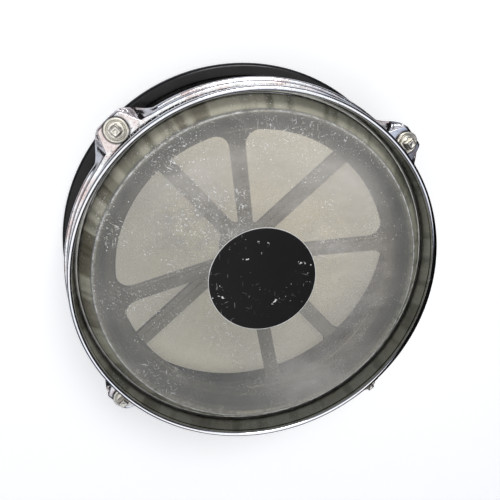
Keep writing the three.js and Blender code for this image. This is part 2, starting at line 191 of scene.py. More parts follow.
def turned(name, outline, columns=SMALL_COLUMNS, warp=None, sharp=32):
    """Turns an outline about Z. It closes on itself, or starts and ends on the axis."""
    outline = np.array(outline, float)
    solid = outline[0, 0] == 0
    rows = outline[1:-1] if solid else outline
    angle, radius = np.meshgrid(np.linspace(0, TURN, columns, endpoint=False), rows[:, 0], indexing="ij")
    height = np.broadcast_to(rows[:, 1], radius.shape)
    if warp:
        radius, height = warp(angle, radius, height)
    poles = (outline[0, 1], outline[-1, 1]) if solid else ()
    return woven(name, angle, radius, height, not solid, poles, sharp)


def cylinder(name, radius, bottom, top, columns):
    """A plain cylinder on the axis."""
    return turned(name, [(0, bottom), (radius, bottom), (radius, top), (0, top)], columns)


def placed(obj, x=0.0, y=0.0, z=0.0, turn=0.0):
    """Moves and turns the mesh itself, so that the object stays at the origin."""
    obj.data.transform(Matrix.Translation(Vector((x, y, z)) * MM) @ Matrix.Rotation(turn, 4, "Z"))
    return obj


def at_rod(obj, angle, turn=0.0):
    """Moves a mesh from the axis to a rod's place."""
    return placed(obj, ROD_CIRCLE * math.cos(angle), ROD_CIRCLE * math.sin(angle), turn=turn)


def removed(obj):
    """Removes an object with its mesh."""
    mesh = obj.data
    bpy.data.objects.remove(obj)
    bpy.data.meshes.remove(mesh)


def applied(obj):
    """The object with its modifiers made part of its mesh."""
    bpy.context.view_layer.update()
    depsgraph = bpy.context.evaluated_depsgraph_get()
    mesh = bpy.data.meshes.new_from_object(obj.evaluated_get(depsgraph))
    mesh.name = obj.name
    obj.modifiers.clear()
    obj.data = mesh
    return obj


def combined(base, others, operation="UNION", sharp=32):
    """Joins other solids to the base, or cuts them out of it, and removes them."""
    for other in others:
        boolean = base.modifiers.new("boolean", "BOOLEAN")
        boolean.operation = operation
        boolean.solver = "EXACT"
        boolean.object = other
    applied(base)
    for other in others:
        removed(other)
    return finish_mesh(base, sharp)


def joined_meshes(name, objects):
    """One object from several that don't touch."""
    work = bmesh.new()
    for obj in objects:
        work.from_mesh(obj.data)
        removed(obj)
    mesh = bpy.data.meshes.new(name)
    work.to_mesh(mesh)
    work.free()
    return finish_mesh(linked(name, mesh))


def slab(name, one_side, other_side):
    """A solid between two outlines with the same number of points."""
    count = len(one_side)
    ends = [tuple(range(count))[::-1], tuple(range(count, 2 * count))]
    sides = [(i, (i + 1) % count, count + (i + 1) % count, count + i) for i in range(count)]
    return mesh_object(name, [*one_side, *other_side], [*ends, *sides])


def rib(outline, half_width, rounding):
    """A plate in the XZ plane over an outline of (x, z) points, with rounded edges."""
    obj = slab("rib", [(x, -half_width, z) for x, z in outline], [(x, half_width, z) for x, z in outline])
    bevel = obj.modifiers.new("bevel", "BEVEL")
    bevel.width = rounding * MM
    bevel.segments = 4
    return finish_mesh(applied(obj))


# ------------------------------------------------------------------ warps of a turned outline

def thread(radius, pitch, depth, bottom, top):
    """Cuts a helical groove into the rows that lie at a radius. A negative depth cuts outwards."""
    def warp(angle, radii, heights):
        wave = np.abs((heights / pitch - angle / TURN) % 1 * 2 - 1)
        groove = np.clip(1.5 * wave - 0.25, 0, 1)
        fade = np.clip((heights - bottom) / pitch, 0, 1) * np.clip((top - heights) / pitch, 0, 1)
        here = (np.abs(radii - radius) < 0.02) * fade
        return radii - depth * groove * here, heights
    return warp


def polygonal(sides, above, below, power):
    """Makes the rows between two heights a polygon. More power sharpens its softened corners."""
    def warp(angle, radii, heights):
        edge = TURN / sides
        total = sum(np.clip(np.cos(angle - k * edge), 0, 1) ** power for k in range(sides))
        shaped = radii / total ** (1 / power)
        return np.where((heights > above) & (heights < below), shaped, radii), heights
    return warp


def in_turn(*warps):
    """One warp that applies several, in order."""
    def warp(angle, radii, heights):
        for each in warps:
            radii, heights = each(angle, radii, heights)
        return radii, heights
    return warp


def ripple(angle, seed, waves, steep=1.0):
    """A seamless uneven wave around the drum, from -1 to 1."""
    random = np.random.default_rng(seed)
    total = np.zeros_like(angle)
    for count in waves:
        total = total + np.cos(count * angle + random.uniform(0, TURN)) * random.uniform(0.5, 1)
    return np.tanh(steep * total / math.sqrt(len(waves)))


# ------------------------------------------------------------------ drumhead

def make_head_film():
    """The film with its bend over the bearing edge and its collar, which has small pleats."""
    film = 0.28
    crown = 2.0
    run, drop = 10.4, 12.0
    normal = math.degrees(math.atan2(run, drop))

    def side(depth):
        bend = arc(BEARING - 1, HEAD - crown, crown - depth, 90, normal, 8)
        skirt = FILM_OUT - depth
        slope_end = bend[-1][1] - (skirt - bend[-1][0]) * drop / run
        slope = [bend[-1] + (np.array((skirt, slope_end)) - bend[-1]) * t for t in np.linspace(0.1, 1, 10)]
        flat = [np.array((radius, HEAD - depth)) for radius in (20, 41, 60, 80, 95, 105, 112)]
        return [*flat, *bend, *slope, np.array((skirt, FILM_LOW))]

    def pleats(angle, radii, heights):
        along = np.clip((HEAD - 2.5 - heights) / 8, 0, 1) * np.clip((heights - FILM_LOW - 2) / 4, 0, 1)
        fine = ripple(angle, 3, (61, 83, 97, 120, 143), 1.6)
        broad = ripple(angle, 4, (9, 14, 23, 31), 1.2)
        dents = np.clip(ripple(angle, 5, (17, 29, 43), 2.5) - 0.8, 0, 1) * 4
        near = np.exp(-((radii - BEARING - 0.4) / 1.6) ** 2)
        pleated = radii + along * (0.2 * fine + 0.25 * broad)
        return pleated - 0.02 * dents * near, heights - 0.06 * dents * near

    bottom, top = side(film), side(0)
    outline = [np.array((0, HEAD - film)), *bottom, *reversed(top), np.array((0, HEAD))]
    return turned("head_film", outline, 960, pleats, sharp=50)


def make_centre_dot():
    """The black disc, with a hand-cut edge."""
    bottom, top = low("centre_dot").z, high("centre_dot").z

    def uneven(angle, radii, heights):
        edge = (radii > DOT_RADIUS - 1) * 0.12
        return radii - edge * (1 + ripple(angle, 8, (5, 11, 23, 47))), heights

    outline = rounded([
        (0, bottom), (DOT_RADIUS, bottom, 0.1), (DOT_RADIUS, top, 0.14),
        (DOT_RADIUS - 0.8, top), (20, top), (0, top),
    ], closed=False)
    return turned("centre_dot", outline, 360, uneven)


def make_flesh_hoop():
    """The ring in which the film's edge is cast, crimped all round."""
    inside, outside = 128.5, high("flesh_hoop").x
    bottom, top = low("flesh_hoop").z, high("flesh_hoop").z
    crimps = 96

    def crimped(angle, radii, heights):
        notch = np.clip(np.cos(crimps * angle) * 3 - 2, 0, 1)
        band = np.clip(1.4 - np.abs(heights - (bottom + top) / 2), 0, 1)
        return radii - 0.35 * notch * band * (radii > outside - 0.1), heights

    outline = rounded([
        (inside, bottom, 0.9), (outside, bottom, 1.2), (outside, bottom + 1.6), (outside, (bottom + top) / 2),
        (outside, top - 1.6), (outside, top, 1.3), (inside, top, 1.3),
    ])
    return turned("flesh_hoop", outline, RING_COLUMNS * 2, crimped)


# ------------------------------------------------------------------ counterhoop

HOOP_WALL = 131.6           # outer face of the upright wall
HOOP_SHEET = 1.8
HOOP_SHOULDER = HEAD - 10.9
HOOP_SKIRT = 136.2
HOOP_FLANGE = HEAD - 15.9
HOOP_RIM = 138.4
EAR_TOP_END = 149.6         # the ear's flat top: its outer edge, and one of its sloping sides
EAR_TOP_SIDE = (132.0, 17.0, 149.6, 9.2)
EAR_FOOT_END = 150.2        # the same at the foot of the ear's sloping faces
EAR_FOOT_SIDE = (132.0, 31.0, 150.2, 10.4)
EAR_FOOT = HOOP_FLANGE - HOOP_SHEET
EAR_FLAT_ENDS = math.radians(6.4)
EAR_ENDS = math.radians(15.5)


def smaller(a, b, softness):
    """The smaller of two lengths, with a rounded corner where they cross."""
    return -softness * math.log(math.exp(-(a - 140) / softness) + math.exp(-(b - 140) / softness)) + 140


def ear_reach(turn, end, side, softness=0.9):
    """How far out an ear's outline lies, at an angle from the ear's middle."""
    x1, y1, x2, y2 = side
    slope = (y1 - y2) / (x2 - x1)
    slanted = (y1 + slope * x1) / (math.sin(turn) + slope * math.cos(turn))
    return smaller(end / math.cos(turn), slanted, softness)


def hoop_faces(angle):
    """The corners of the hoop's step, skirt and flange, or of an ear, at an angle around the drum."""
    quarter = TURN / RODS
    turn = abs((angle - ROD_ANGLES[0] + quarter / 2) % quarter - quarter / 2)
    plain = np.array((
        (HOOP_SKIRT, HOOP_SHOULDER), (HOOP_SKIRT, HOOP_FLANGE), (HOOP_RIM, HOOP_FLANGE), (HOOP_RIM, HOOP_LOW),
    ))
    if turn >= EAR_ENDS:
        return plain
    edge = max(HOOP_SKIRT, ear_reach(turn, EAR_TOP_END, EAR_TOP_SIDE))
    a = np.array((edge, HOOP_SHOULDER))
    d = np.array((max(HOOP_RIM, ear_reach(turn, EAR_FOOT_END, EAR_FOOT_SIDE)), EAR_FOOT))
    ear = np.array((a, a + 0.35 * (d - a), a + 0.8 * (d - a), d))
    t = np.clip((turn - EAR_FLAT_ENDS) / (EAR_ENDS - EAR_FLAT_ENDS), 0, 1)
    return ear + (plain - ear) * t * t * (3 - 2 * t)


def hoop_section(angle):
    """The closed outline of the pressed sheet at an angle: the rolled lip, then the outer and inner faces."""
    a, b, c, d = hoop_faces(angle)
    lip_centre = HOOP_TOP - HOOP_SHEET
    face = np.array(rounded([
        (HOOP_WALL, lip_centre), (HOOP_WALL, HOOP_SHOULDER, 0.8), (*a, 2.0), (*b, 0.6), (*c, 1.85), tuple(d),
    ], steps=5, closed=False))
    along = np.gradient(face, axis=0)
    along /= np.maximum(np.linalg.norm(along, axis=1, keepdims=True), 1e-9)
    back = face + HOOP_SHEET * np.stack((along[:, 1], -along[:, 0]), 1)
    back[0] = (HOOP_WALL - HOOP_SHEET, lip_centre)
    curl_end = HOOP_TOP - 3.3
    curl_out = HOOP_WALL + HOOP_SHEET
    curl = [(curl_out, curl_end + 0.5), (curl_out - 0.5, curl_end), (HOOP_WALL + 0.25, curl_end)]
    lip = arc(HOOP_WALL, lip_centre, HOOP_SHEET, 180, 0, 12)
    gap = [(HOOP_WALL, curl_end - 0.3)]
    return np.array([*lip, *curl, *gap, *face[1:], *back[:0:-1]])


def make_counterhoop():
    """The pressed hoop: its section changes around the drum, and each ear has a hole for its rod."""
    columns = RING_COLUMNS + RING_COLUMNS // 4
    angles = np.linspace(0, TURN, columns, endpoint=False)
    sections = np.array([hoop_section(angle) for angle in angles])
    angle = np.broadcast_to(angles[:, None], sections.shape[:2])
    hoop = woven("hoop", angle, sections[:, :, 0], sections[:, :, 1], closed=True, sharp=40)
    hole, under, over = 3.6, EAR_FOOT - 2, HOOP_SHOULDER + 1
    holes = [at_rod(cylinder("hole", hole, under, over, 48), angle) for angle in ROD_ANGLES]
    return combined(hoop, [joined_meshes("holes", holes)], "DIFFERENCE", sharp=40)


# ------------------------------------------------------------------ castings

def window_outline(hub, rim, half_width, hub_corner, rim_corner, steps=10):
    """The opening between two spokes that lie along +X and +Y, with rounded corners."""
    rim_offset = half_width + rim_corner
    rim_reach = math.sqrt((rim - rim_corner) ** 2 - rim_offset ** 2)
    rim_turn = math.degrees(math.atan2(rim_offset, rim_reach))
    hub_offset = half_width + hub_corner
    hub_reach = math.sqrt((hub + hub_corner) ** 2 - hub_offset ** 2)
    hub_turn = math.degrees(math.atan2(hub_offset, hub_reach))
    return [
        *arc(rim_reach, rim_offset, rim_corner, -90, rim_turn, steps),
        *arc(0, 0, rim, rim_turn, 90 - rim_turn, 4 * steps)[1:],
        *arc(rim_offset, rim_reach, rim_corner, 90 - rim_turn, 180, steps)[1:],
        *arc(hub_offset, hub_reach, hub_corner, 180, 270 - hub_turn, steps),
        *arc(0, 0, hub, 90 - hub_turn, hub_turn, steps)[1:],
        *arc(hub_reach, hub_offset, hub_corner, 180 + hub_turn, 270, steps)[1:],
    ]


def circle(radius, points):
    """Points evenly around a circle, or the corners of a regular polygon."""
    angles = [TURN * i / points for i in range(points)]
    return [(radius * math.cos(angle), radius * math.sin(angle)) for angle in angles]


def spoked_plate(name, outside, bottom, top, window, hole, edge, turn=0.0):
    """A flat disc with four windows and a hole, with every edge rounded."""
    outlines = [circle(outside, 240), circle(hole, 64)]
    for i in range(SPOKES):
        spin = Matrix.Rotation(i * TURN / SPOKES, 2)
        outlines.append([spin @ Vector(point) for point in window])
    curve = bpy.data.curves.new(name, "CURVE")
    curve.dimensions = "2D"
    curve.fill_mode = "BOTH"
    for outline in outlines:
        spline = curve.splines.new("POLY")
        spline.points.add(len(outline) - 1)
        for point, (x, y) in zip(spline.points, outline):
            point.co = (x * MM, y * MM, 0, 1)
        spline.use_cyclic_u = True
    curve.extrude = ((top - bottom) / 2 - edge) * MM
    curve.bevel_depth = edge * MM
    curve.bevel_resolution = 3
    curve.offset = -edge * MM
    shape = linked(name, curve)
    bpy.context.view_layer.update()
    depsgraph = bpy.context.evaluated_depsgraph_get()
    mesh = bpy.data.meshes.new_from_object(shape.evaluated_get(depsgraph))
    bpy.data.objects.remove(shape)
    plate = finish_mesh(linked(name, mesh))
    return placed(plate, z=(bottom + top) / 2, turn=turn)


def make_upper_frame():
    """The cast ring with the bearing edge, and four ribbed spokes that sink inwards to a hub."""
    bottom, plate_top, ring_top = 59.5, 65.5, 66.0
    crown_top = high("upper_frame").z
    outside = high("upper_frame").x
    hub_low, hub_high, hub = high("thrust_washer").z + 0.3, low("top_washer").z - 0.3, 20.0
    window, drop, dish_start, dish_end = UPPER_WINDOW, 26.0, 19.0, 106.3
    rim = turned("upper_frame_mesh", rounded([
        (window + 1.4, bottom, 0.3), (outside, bottom, 1.0), (outside, crown_top - 0.1, 1.5),
        (outside - 2.1, crown_top + 0.1, 1.2), (outside - 5.8, crown_top - 3.9, 1.5),
        (outside - 6.8, ring_top + 1, 3.2), (outside - 9.8, ring_top, 1.5), (window + 1.4, ring_top, 0.5),
    ], steps=6), RING_COLUMNS // 2)
    outline = window_outline(hub, window, SPOKE_HALF_WIDTH, 6, 10)
    plate = spoked_plate("plate", window + 2.3, bottom, plate_top, outline, 10, 0.9)
    for vertex in plate.data.vertices:
        sunk = (dish_end - vertex.co.xy.length / MM) / (dish_end - dish_start)
        vertex.co.z -= drop * MM * min(max(sunk, 0), 1)
    hub_plate = plate_top - drop
    centre = turned("hub", rounded([
        (6.4, hub_low, 0.5), (14.5, hub_low, 0.3), (15, hub_low + 0.5, 0.3), (hub, hub_low + 0.5, 1.2),
        (hub, hub_plate + 0.6, 0.8), (hub - 0.6, hub_high, 1.2), (13, hub_high, 0.2),
        (12.7, hub_high - 0.5, 0.2), (12.1, hub_high - 0.5, 0.2), (11.8, hub_high, 0.2), (6.4, hub_high, 0.5),
    ]), SMALL_COLUMNS)
    rib_start = dish_start - 1.5
    profile = [
        (rib_start, hub_low + 5.5), (rib_start, hub_low + 0.4), (dish_start, hub_low + 0.4),
        (window, bottom + 1), (window, bottom + 3),
    ]
    spoke_turns = [i * TURN / SPOKES for i in range(SPOKES)]
    ribs = [placed(rib(profile, 1.9, 0.8), turn=turn) for turn in spoke_turns]
    cross = combined(plate, [centre, *ribs])
    pins = []
    for turn in spoke_turns:
        for reach, side in ((48, 3.3), (88, -3.3)):
            under = bottom - drop * (dish_end - reach) / (dish_end - dish_start)
            pin = cylinder("pin", 1.6, under - 2, under + 0.6, 32)
            pins.append(placed(placed(pin, reach, side), turn=turn))
    cross = combined(cross, [joined_meshes("pins", pins)], "DIFFERENCE")
    return combined(rim, [placed(cross, turn=SPOKE_TURN)])


def make_lower_frame():
    """The cast ring that the rods pull on, with ribbed arms, a hub, and a nut pocket under each boss."""
    inside, outside, height = LOWER_INSIDE, high("lower_frame").x, 15.0
    arm_low, arm_high, hub, hub_high, bush_hole = 2.0, 9.0, 21.0, 16.0, 13.0
    eighth = TURN / 8
    ring = turned("lower_frame_mesh", rounded([
        (inside, 0, 0.8), (outside, 0, 1.2), (outside, height, 3.2), (inside + 5, height, 0.8),
        (inside + 4, height - 0.8, 0.8), (inside, height - 0.8, 1.0),
    ], steps=6), RING_COLUMNS // 2)
    outline = window_outline(hub, inside + 0.8, 6.75, 6, 9)
    arms = spoked_plate("arms", inside + 3, arm_low, arm_high, outline, 16, 1.2, eighth)
    centre = turned("hub", rounded([
        (bush_hole, arm_low, 0.5), (hub, arm_low, 1.2), (hub, arm_high + 1, 0.8),
        (hub - 0.7, hub_high, 1.4), (bush_hole, hub_high, 0.5),
    ]), SMALL_COLUMNS)
    profile = [(hub - 2, 7), (inside + 3, 7), (inside + 3, 9.4), (hub + 6, 13.6), (hub - 2, 14)]
    ribs = [placed(rib(profile, 2.2, 0.9), turn=eighth + i * TURN / SPOKES) for i in range(SPOKES)]
    boss_outline = rounded([(0, 0), (8.2, 0, 0.8), (8.2, 16.5, 1.4), (0, 16.5)], closed=False)
    bosses = [at_rod(turned("boss", boss_outline, 64), angle) for angle in ROD_ANGLES]
    body = combined(ring, [arms, centre, *ribs, joined_meshes("bosses", bosses)])
    hexagon = circle(10.6 / math.sqrt(3), 6)
    cutters = []
    for angle in ROD_ANGLES:
        bore = turned("bore", [(0, -1), (3.3, -1), (3.3, 15.7), (4.1, 16.5), (5.1, 17.5), (0, 17.5)], 48)
        pocket = slab("pocket", [(x, y, -1) for x, y in hexagon], [(x, y, 6.7) for x, y in hexagon])
        cutters.append(at_rod(combined(bore, [pocket]), angle, angle))
    return combined(body, [joined_meshes("cutters", cutters)], "DIFFERENCE")


# ------------------------------------------------------------------ rods

def make_rod():
    """A key rod: threaded shank, round flange and a square head with bevelled corners."""
    radius, plain, flange = 2.9, 2.62, 5.4
    flange_low = WASHER_HIGH - 0.1
    flange_high = flange_low + 1.3
    thread_top = 52.0
    half = 2.9
    tip = rounded([(1.2, ROD_LOW), (2.05, ROD_LOW, 0.3), (radius, ROD_LOW + 0.8)], closed=False)
    head = rounded([
        (radius, thread_top + 0.1), (plain, thread_top + 0.7, 0.3), (plain, flange_low - 0.6),
        (plain + 0.5, flange_low, 0.2), (flange, flange_low, 0.25), (flange - 0.1, flange_high - 0.15, 0.4),
        (half + 0.9, flange_high, 0.3), (half + 0.35, flange_high + 0.3, 0.3), (half, flange_high + 0.9, 0.3),
        (half - 0.05, ROD_HIGH - 0.85, 0.35), (half - 0.75, ROD_HIGH, 0.3), (1.3, ROD_HIGH - 0.05, 0.2),
        (1.0, ROD_HIGH - 0.3, 0.1),
    ], steps=3, closed=False)
    outline = [
        np.array((0, ROD_LOW)), *tip, *stack(radius, ROD_LOW + 0.85, thread_top, 0.13), *head,
        np.array((0, ROD_HIGH - 0.3)),
    ]
    cut = thread(radius, ROD_THREAD_PITCH, 0.6, ROD_LOW + 0.5, thread_top)
    square = polygonal(4, flange_high + 0.2, ROD_HIGH + 1, 18)
    return turned("rod", outline, 72, in_turn(cut, square), sharp=40)


def make_rod_washer():
    """A dished washer with a raised rim and turned rings."""
    inside, outside, dish, groove = 3.2, WASHER_RADIUS, WASHER_HIGH - 0.42, WASHER_HIGH - 0.52
    outline = rounded([
        (inside, WASHER_LOW, 0.15), (outside, WASHER_LOW, 0.35), (outside, WASHER_HIGH, 0.5),
        (6.6, WASHER_HIGH, 0.3), (6.0, dish + 0.02, 0.3), (5.6, dish, 0.1), (5.5, groove, 0.1),
        (5.3, groove, 0.1), (5.2, dish, 0.1), (inside, dish, 0.15),
    ])
    return turned("washer", outline, SMALL_COLUMNS)


def make_hex_nut(node, across, bore, pitch, depth):
    """A hexagon nut, chamfered on both faces, with a threaded bore."""
    bottom, top = low(node).z, high(node).z
    flat = across / 2
    corner = across / math.sqrt(3)
    lean = math.tan(math.radians(30))
    rise = (corner - flat) * lean
    start = flat - 0.15
    chamfer = [np.array((start + (corner - start) * t, bottom + rise * t)) for t in np.linspace(0, 1, 9)]
    upper = [np.array((point[0], bottom + top - point[1])) for point in reversed(chamfer)]

    def hexagonal(angle, radii, heights):
        wedge = TURN / 6
        limit = flat / np.cos((angle + wedge / 2) % wedge - wedge / 2)
        return np.where(radii > bore + 1, np.minimum(radii, limit), radii), heights

    inner = stack(bore, top - 0.5, bottom + 0.5, pitch / 8)
    outline = [np.array((bore + 0.5, bottom)), *chamfer, *upper, np.array((bore + 0.5, top)), *inner]
    return turned("nut", outline, 144, in_turn(hexagonal, thread(bore, pitch, -depth, bottom, top)), sharp=25)


# ------------------------------------------------------------------ spindle and hub

def make_spindle():
    """The threaded post, its shoulder and journal, a threaded top and a socket for a stand."""
    bottom, top = low("spindle").z, high("spindle").z
    radius, shoulder, journal, socket = 8.0, 12.5, 6.1, 4.5
    shoulder_high = low("thrust_washer").z - 0.3
    shoulder_low, socket_top, fine_thread = shoulder_high - 3.5, bottom + 18, low("retaining_nut").z - 0.5
    thread_top = shoulder_low - 2
    outline = [
        np.array((0, socket_top + 1.5)), *rounded([
            (1, socket_top + 1), (socket, socket_top, 0.6), (socket, bottom + 0.8),
            (socket + 0.8, bottom, 0.2), (radius - 1.2, bottom, 0.2), (radius, bottom + 1.2),
        ], closed=False),
        *stack(radius, bottom + 1.3, thread_top, SPINDLE_PITCH / 10),
        *rounded([
            (radius, thread_top + 0.1), (radius - 1, thread_top + 0.8, 0.4),
            (radius - 1, shoulder_low - 0.5, 0.4), (radius - 0.3, shoulder_low, 0.1),
            (shoulder, shoulder_low, 0.6), (shoulder, shoulder_high, 0.6),
            (journal + 0.3, shoulder_high, 0.2), (journal, shoulder_high + 0.6), (journal, fine_thread - 0.1),
        ], closed=False),
        *stack(journal, fine_thread, top - 1.1, 0.16),
        *rounded([(journal, top - 1), (journal - 1, top, 0.2), (1.5, top)], closed=False),
        np.array((0, top)),
    ]
    main_cut = thread(radius, SPINDLE_PITCH, 1.1, bottom, thread_top + 1)
    fine_cut = thread(journal, FINE_PITCH, 0.5, fine_thread, top - 0.5)
    return turned("spindle", outline, SMALL_COLUMNS, in_turn(main_cut, fine_cut), sharp=40)


def make_hub_bush():
    """The flanged bush that runs on the spindle's thread."""
    bottom, top = low("hub_bush").z, high("hub_bush").z
    inside, outside, flange, flange_low = 8.3, 12.7, 17.0, top - 3
    outline = [
        *rounded([
            (inside + 0.9, bottom), (outside, bottom, 0.6), (outside, flange_low, 0.2),
            (flange, flange_low, 0.4), (flange, top, 0.6), (11.5, top, 0.2), (11.2, top - 0.35, 0.1),
            (10.6, top - 0.35, 0.1), (10.3, top, 0.2), (inside + 0.9, top),
        ], closed=False),
        *stack(inside, top - 0.9, bottom + 0.9, SPINDLE_PITCH / 10),
    ]
    cut = thread(inside, SPINDLE_PITCH, -1.0, bottom, top)
    return turned("hub_bush", outline, SMALL_COLUMNS, cut, sharp=40)


def make_washer(node, inside, edge):
    """A plain flat washer with rolled edges."""
    outside, bottom, top = high(node).x, low(node).z, high(node).z
    return turned(node + "_mesh", rounded([
        (inside, bottom, edge), (outside, bottom, edge), (outside, top, edge), (inside, top, edge),
    ]), SMALL_COLUMNS)


# ------------------------------------------------------------------ materials

class Nodes:
    """A node tree. Each method adds nodes and returns the socket that they feed from."""

    def __init__(self, tree, coordinates):
        self.tree = tree
        self.place = self.node("ShaderNodeTexCoord").outputs[coordinates]
        self.z = self.node("ShaderNodeSeparateXYZ", Vector=self.place).outputs[2]

    def feed(self, socket, value):
        if isinstance(value, bpy.types.NodeSocket):
            self.tree.links.new(value, socket)
        elif isinstance(value, (tuple, list)) and len(value) == 3 and socket.type == "RGBA":
            socket.default_value = (*value, 1)
        else:
            socket.default_value = value

    def node(self, kind, **inputs):
        made = self.tree.nodes.new(kind)
        for name, value in inputs.items():
            self.feed(made.inputs[name.replace("_", " ")], value)
        return made

    def noise(self, scale, detail=4.0, roughness=0.5, at=None, distortion=0.0):
        made = self.node("ShaderNodeTexNoise", Vector=at or self.place, Scale=scale, Detail=detail,
                         Roughness=roughness, Distortion=distortion)
        return made.outputs[0]

    def cells(self, scale):
        """Distance to the nearest of many scattered points."""
        return self.node("ShaderNodeTexVoronoi", Vector=self.place, Scale=scale).outputs["Distance"]

    def stretched(self, turn_degrees, stretch, warp):
        """Coordinates that are long along one direction and slightly bent, for scratches."""
        bend = self.node("ShaderNodeTexNoise", Vector=self.place, Scale=9.0)
        at = self.vector("MULTIPLY_ADD", bend.outputs["Color"], (warp,) * 3, self.place)
        mapping = self.node("ShaderNodeMapping", Vector=at, Rotation=(0, 0, math.radians(turn_degrees)))
        return self.vector("MULTIPLY", mapping.outputs[0], (1 / stretch, 1, 1))

    def length(self, vector):
        """A vector's length."""
        made = self.node("ShaderNodeVectorMath", Vector=vector)
        made.operation = "LENGTH"
        return made.outputs["Value"]

    def vector(self, operation, *values):
        made = self.tree.nodes.new("ShaderNodeVectorMath")
        made.operation = operation
        for socket, value in zip(made.inputs, values):
            self.feed(socket, value)
        return made.outputs[0]

    def math(self, operation, a, b=0.0):
        made = self.tree.nodes.new("ShaderNodeMath")
        made.operation = operation
        for socket, value in zip(made.inputs, (a, b)):
            self.feed(socket, value)
        return made.outputs[0]

    def times(self, a, b):
        return self.math("MULTIPLY", a, b)

    def plus(self, a, b):
        return self.math("ADD", a, b)

    def most(self, *values):
        total = values[0]
        for value in values[1:]:
            total = self.math("MAXIMUM", total, value)
        return total

    def span(self, value, start, end, low=0.0, high=1.0):
        """Value mapped from start..end to low..high, and held there outside."""
        made = self.node("ShaderNodeMapRange", Value=value)
        made.inputs["From Min"].default_value = start
        made.inputs["From Max"].default_value = end
        made.inputs["To Min"].default_value = low
        made.inputs["To Max"].default_value = high
        return made.outputs[0]

    def patches(self, scale, detail, roughness, start, end, low=0.0, high=1.0):
        """Uneven patches: noise mapped in the way of span."""
        return self.span(self.noise(scale, detail, roughness), start, end, low, high)

    def blend(self, factor, a, b):
        made = self.tree.nodes.new("ShaderNodeMix")
        made.data_type = "RGBA"
        for socket, value in ((made.inputs[0], factor), (made.inputs[6], a), (made.inputs[7], b)):
            self.feed(socket, value)
        return made.outputs[2]

    def bump(self, height, distance, normal=None):
        made = self.node("ShaderNodeBump", Height=height, Distance=distance * MM)
        if normal:
            self.feed(made.inputs["Normal"], normal)
        return made.outputs[0]

    def edges(self, start=0.52, end=0.6):
        """Worn convex edges."""
        geometry = self.tree.nodes.new("ShaderNodeNewGeometry")
        return self.span(geometry.outputs["Pointiness"], start, end)

    def along(self, direction):
        """Distance along a direction."""
        made = self.node("ShaderNodeVectorMath", Vector=self.place)
        made.operation = "DOT_PRODUCT"
        made.inputs[1].default_value = direction
        return made.outputs["Value"]

    def near(self, point, edge, core, most=1.0):
        """A soft patch around a point, from nothing at its edge to the most at its core."""
        away = self.length(self.vector("SUBTRACT", self.place, point))
        return self.span(away, edge, core, 0, most)

    def upward(self, start=0.3, end=1.0):
        """Surfaces that face up, where dust lies."""
        geometry = self.tree.nodes.new("ShaderNodeNewGeometry")
        split = self.node("ShaderNodeSeparateXYZ", Vector=geometry.outputs["Normal"])
        return self.span(split.outputs[2], start, end)


class Look(Nodes):
    """One node material, on its piece's own coordinates."""

    def __init__(self, name):
        self.material = bpy.data.materials.new(name)
        self.material.use_nodes = True
        super().__init__(self.material.node_tree, "Object")
        self.shader = self.tree.nodes["Principled BSDF"]
        self.output = self.tree.nodes["Material Output"]
        self.radius = self.length(self.vector("MULTIPLY", self.place, (1, 1, 0)))

    def at_height(self, start, end):
        """From nothing at one height to all at another, in millimetres."""
        return self.span(self.z, start * MM, end * MM)

    def at_radius(self, start, end, low=0.0, high=1.0):
        """The same between two distances from the axis."""
        return self.span(self.radius, start * MM, end * MM, low, high)

    def set(self, **values):
        """Sets the shader's inputs and returns the material."""
        for name, value in values.items():
            self.feed(self.shader.inputs[name.replace("_", " ")], value)
        return self.material


def scratches(look, count=3, threshold=0.7, scale=160.0, stretch=28.0):
    """Thin lines in several directions, sparse and broken up."""
    lines = []
    for i in range(count):
        at = look.stretched(23 + 67 * i, stretch, 0.012)
        line = look.noise(scale * (1 + 0.35 * i), 1.5, 0.5, at)
        lines.append(look.span(line, threshold, threshold + 0.03))
    return look.times(look.most(*lines), look.patches(22, 2, 0.5, 0.48, 0.6))


def specks(look, scale, size, share):
    """Small separate spots: size is their share of a cell, share how many cells have one."""
    spots = look.span(look.cells(scale), size, size * 0.55)
    apart = look.vector("ADD", look.place, (3.1, 1.7, 0.4))
    chosen = look.span(look.noise(scale * 0.37, 1, 0.5, apart), 1 - share, 1.02 - share)
    return look.times(spots, chosen)


